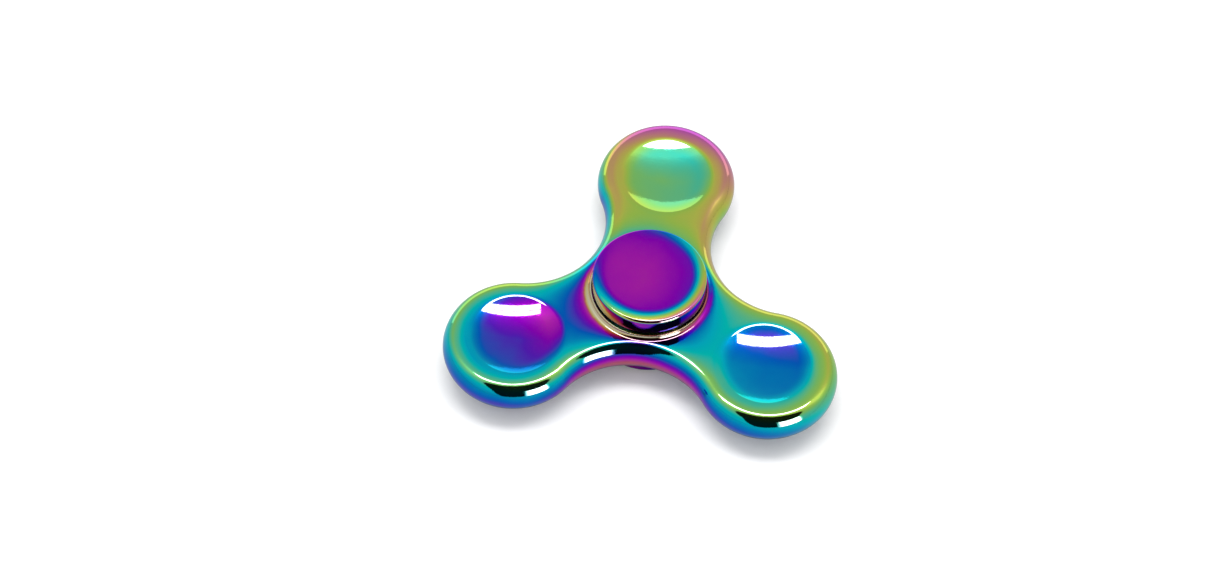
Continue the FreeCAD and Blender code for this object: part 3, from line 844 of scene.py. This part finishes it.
def steel(name, colour, roughness, lines_per_metre, worn=0.0):
    """Steel with fine machining lines round Z, and slightly uneven colour and polish.

    worn is how much rougher the dull spots are.
    """
    material = bpy.data.materials.new(name)
    graph = Graph(material)
    place = graph.add("ShaderNodeTexCoord").outputs["Object"]
    x, y, z = split_up(graph, place)
    # the lines run round Z, and change slowly along X
    ringed = graph.add("ShaderNodeCombineXYZ", {
        "X": graph.hypotenuse(x, y), "Y": z, "Z": graph.product(x, 0.02)})
    lines = graph.noise(ringed.outputs["Vector"], lines_per_metre, 4.0)
    cloud = graph.noise(place, 300.0, 4.0)
    darker = [part * 0.86 for part in colour]
    tint = graph.mix(graph.remap(cloud, 0.3, 0.7), (*darker, 1.0), (*colour, 1.0))
    rough = graph.math("ADD", graph.remap(lines, 0.2, 0.8, roughness * 0.7, roughness * 1.3),
                       graph.remap(cloud, 0.45, 0.8, 0.0, worn))
    bump = graph.add("ShaderNodeBump", {"Height": lines, "Strength": 0.25, "Distance": 0.02 * MM})
    graph.surface(graph.add("ShaderNodeBsdfPrincipled", {
        "Base Color": tint, "Metallic": 1.0, "Roughness": rough, "Normal": bump.outputs["Normal"]}))
    return material


def give(thing, material):
    thing.data.materials.clear()
    thing.data.materials.append(material)


def give_steels():
    """The bearing, shields, clips and screw keep their CAD shapes, in bare or blackened steel."""
    ring_steel = steel("ring_steel", (0.60, 0.60, 0.61), 0.16, 9000.0)
    ball_steel = steel("ball_steel", (0.74, 0.75, 0.76), 0.08, 3000.0)
    sheet_steel = steel("sheet_steel", (0.52, 0.52, 0.53), 0.30, 6000.0, worn=0.10)
    spring_steel = steel("spring_steel", (0.40, 0.40, 0.42), 0.34, 5000.0, worn=0.10)
    black_steel = steel("black_steel", (0.05, 0.05, 0.055), 0.40, 4000.0, worn=0.12)
    for node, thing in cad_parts.items():
        if node.endswith("ring"):
            give(thing, ring_steel)
        elif "ball" in node:
            give(thing, ball_steel)
        elif "clip" in node:
            give(thing, spring_steel)
        elif node.startswith(("cage", "shield")):
            give(thing, sheet_steel)
        elif "screw" in node:
            give(thing, black_steel)


# ---- studio --------------------------------------------------------------------------------------

def dark_shape(graph, across, back):
    """SHAPE_BRIGHTNESS in the rounded shape of the photographer and the camera's black cloth, else 1."""
    share_across = graph.math("DIVIDE", graph.off(across, SHAPE_MIDDLE[0]), SHAPE_HALF[0])
    share_back = graph.math("DIVIDE", graph.off(back, SHAPE_MIDDLE[1]), SHAPE_HALF[1])
    shape = graph.math("ADD", graph.math("POWER", share_across, SHAPE_POWER),
                       graph.math("POWER", share_back, SHAPE_POWER))
    return graph.remap(shape, *SHAPE_EDGE, SHAPE_BRIGHTNESS, 1.0)


def tent_glow(graph, across, back):
    """How the tent's cloth glows round the lamp, from 1 beside it down to 0."""
    beside_lamp = graph.beyond(graph.off(across, GLOW_MIDDLE[0]), GLOW_HALF[0])
    past_lamp = graph.beyond(graph.off(back, GLOW_MIDDLE[1]), GLOW_HALF[1])
    fades = graph.hypotenuse(graph.math("DIVIDE", beside_lamp, GLOW_FADE[0]),
                             graph.math("DIVIDE", past_lamp, GLOW_FADE[1]))
    return graph.math("EXPONENT", graph.product(fades, -1.0))


def studio_light(world):
    """A white tent: dim round the horizon, bright near the lamp, with the photographer's dark shape.

    What a mirror sees depends on its direction; plain surfaces get an even soft light. Directions are
    laid out flat, in degrees from the zenith: across to the right and back away from the camera.
    """
    graph = Graph(world)
    direction = graph.add("ShaderNodeTexCoord").outputs["Generated"]
    x, y, z = facing_camera(graph, direction)
    zenith = graph.math("DEGREES", graph.math("ARCCOSINE", z))
    # straight up has no heading
    least_level = 0.0001
    level = graph.math("MAXIMUM", graph.hypotenuse(x, y), least_level)
    across = graph.product(zenith, graph.math("DIVIDE", x, level))
    back = graph.product(zenith, graph.math("DIVIDE", y, level))

    glow = tent_glow(graph, across, back)
    tent = graph.math("MULTIPLY_ADD", glow, GLOW_BRIGHTNESS, TENT_BRIGHTNESS)
    tent = graph.product(tent, dark_shape(graph, across, back))
    tent = graph.math("MULTIPLY_ADD", window_in(graph, direction), WINDOW_BRIGHTNESS, tent)
    mirrored = graph.add("ShaderNodeBackground", {"Color": WHITE, "Strength": tent})

    # plain surfaces get most of their light from overhead
    all_round, straight_overhead = EVEN_SHARES
    upward = graph.product(z, graph.math("MAXIMUM", z, 0.0))
    overhead = graph.math("MULTIPLY_ADD", upward, straight_overhead, all_round)
    even = graph.add("ShaderNodeBackground", {
        "Color": WHITE, "Strength": graph.product(overhead, EVEN_LIGHT)})
    mixed = graph.add("ShaderNodeMixShader", {
        0: for_mirrors(graph), 1: even.outputs["Background"], 2: mirrored.outputs["Background"]})
    graph.surface(mixed, "ShaderNodeOutputWorld")


def make_sheet(name, corners):
    """A flat four-cornered sheet. Corners are in millimetres."""
    mesh = bpy.data.meshes.new(name)
    mesh.from_pydata([Vector(corner) * MM for corner in corners], [], [(0, 1, 2, 3)])
    sheet = bpy.data.objects.new(name, mesh)
    bpy.context.scene.collection.objects.link(sheet)
    return sheet


def make_panel(name, corners, brightness):
    """A glowing sheet that only mirrors see. Its corners have x across the camera's view."""
    panel = make_sheet(name, corners)
    follow_camera(panel.driver_add("rotation_euler", 2))
    material = bpy.data.materials.new(name)
    material.cycles.emission_sampling = "NONE"
    graph = Graph(material)
    strength = graph.product(for_mirrors(graph), brightness)
    graph.surface(graph.add("ShaderNodeEmission", {"Strength": strength}))
    give(panel, material)
    panel.visible_camera = False
    panel.visible_diffuse = False
    panel.visible_shadow = False


def make_lamp_and_card():
    """Two long tubes above the spinner and a white card that stands on the table behind it."""
    left, right, near_edge, far_edge = LAMP_EDGES
    gap_near, gap_far = TUBE_GAP
    for name, near, far in (("lamp_front_tube", near_edge, gap_near), ("lamp_back_tube", gap_far, far_edge)):
        make_panel(name, [(left, near, LAMP_HEIGHT), (right, near, LAMP_HEIGHT),
                          (right, far, LAMP_HEIGHT), (left, far, LAMP_HEIGHT)], LAMP_BRIGHTNESS)
    half, distance, top = CARD
    foot = TABLE_HEIGHT / MM
    make_panel("white_card", [(-half, distance, foot), (half, distance, foot),
                              (half, distance, top), (-half, distance, top)], CARD_BRIGHTNESS)


def make_softbox():
    """The light that throws the soft shadow on the table. Mirrors don't see it."""
    across, deep, forward, height = SOFTBOX
    light = bpy.data.lights.new("softbox", "AREA")
    light.shape = "RECTANGLE"
    light.size = across * MM
    light.size_y = deep * MM
    light.energy = SOFTBOX_POWER
    softbox = bpy.data.objects.new("softbox", light)
    bpy.context.scene.collection.objects.link(softbox)
    softbox.location = Vector((0, -forward, height)) * MM
    softbox.visible_glossy = False


def make_table():
    half = TABLE_HALF / MM
    table = make_sheet("table_top", [(-half, -half, 0), (half, -half, 0), (half, half, 0), (-half, half, 0)])
    table.location.z = TABLE_HEIGHT
    material = bpy.data.materials.new("table_card")
    graph = Graph(material)
    place = graph.add("ShaderNodeTexCoord").outputs["Object"]
    grain = graph.noise(place, 900.0, 3.0)
    tone = graph.mix(grain, (0.93, 0.93, 0.935, 1), (0.96, 0.96, 0.965, 1))
    # mirrors show the table as the lens does a bright white: toned down
    toned_down = 0.5
    tone = graph.mix(graph.product(for_mirrors(graph), toned_down), tone, BLACK)
    graph.surface(graph.add("ShaderNodeBsdfPrincipled", {
        "Base Color": tone, "Roughness": 0.7, "Specular IOR Level": 0.1}))
    give(table, material)


def make_camera():
    backward = Vector((math.sin(CAMERA_AZIMUTH) * math.cos(CAMERA_ELEVATION),
                       -math.cos(CAMERA_AZIMUTH) * math.cos(CAMERA_ELEVATION),
                       math.sin(CAMERA_ELEVATION)))
    right = Vector((math.cos(CAMERA_AZIMUTH), math.sin(CAMERA_AZIMUTH), 0))
    up = backward.cross(right)
    forward = (-backward * math.cos(CAMERA_TURN) * math.cos(CAMERA_TILT)
               + right * math.sin(CAMERA_TURN) * math.cos(CAMERA_TILT) + up * math.sin(CAMERA_TILT))
    forward.normalize()
    right = forward.cross(up).normalized()
    up = right.cross(forward)
    right, up = (right * math.cos(CAMERA_ROLL) + up * math.sin(CAMERA_ROLL),
                 up * math.cos(CAMERA_ROLL) - right * math.sin(CAMERA_ROLL))
    camera = bpy.data.objects.new("camera", bpy.data.cameras.new("camera"))
    bpy.context.scene.collection.objects.link(camera)
    camera.data.lens = CAMERA_LENS
    camera.data.clip_start = 0.01
    axes = Matrix((right, up, -forward)).transposed().to_4x4()
    camera.matrix_world = Matrix.Translation(backward * CAMERA_DISTANCE * MM) @ axes
    bpy.context.scene.camera = camera


# ---- the whole scene -----------------------------------------------------------------------------

make_camera()
plating = rainbow_plating("rainbow_plating")
give(make_body(), plating)
cap = cap_outline()
give(make_cap("upper_finger_cap", "upper_cap", cap), plating)
give(make_cap("lower_finger_cap", "lower_cap", cap.mirrored()), plating)
give_steels()

studio = bpy.data.worlds.new("studio")
bpy.context.scene.world = studio
studio_light(studio)
make_table()
make_lamp_and_card()
make_softbox()
bpy.context.scene.view_settings.view_transform = "Standard"
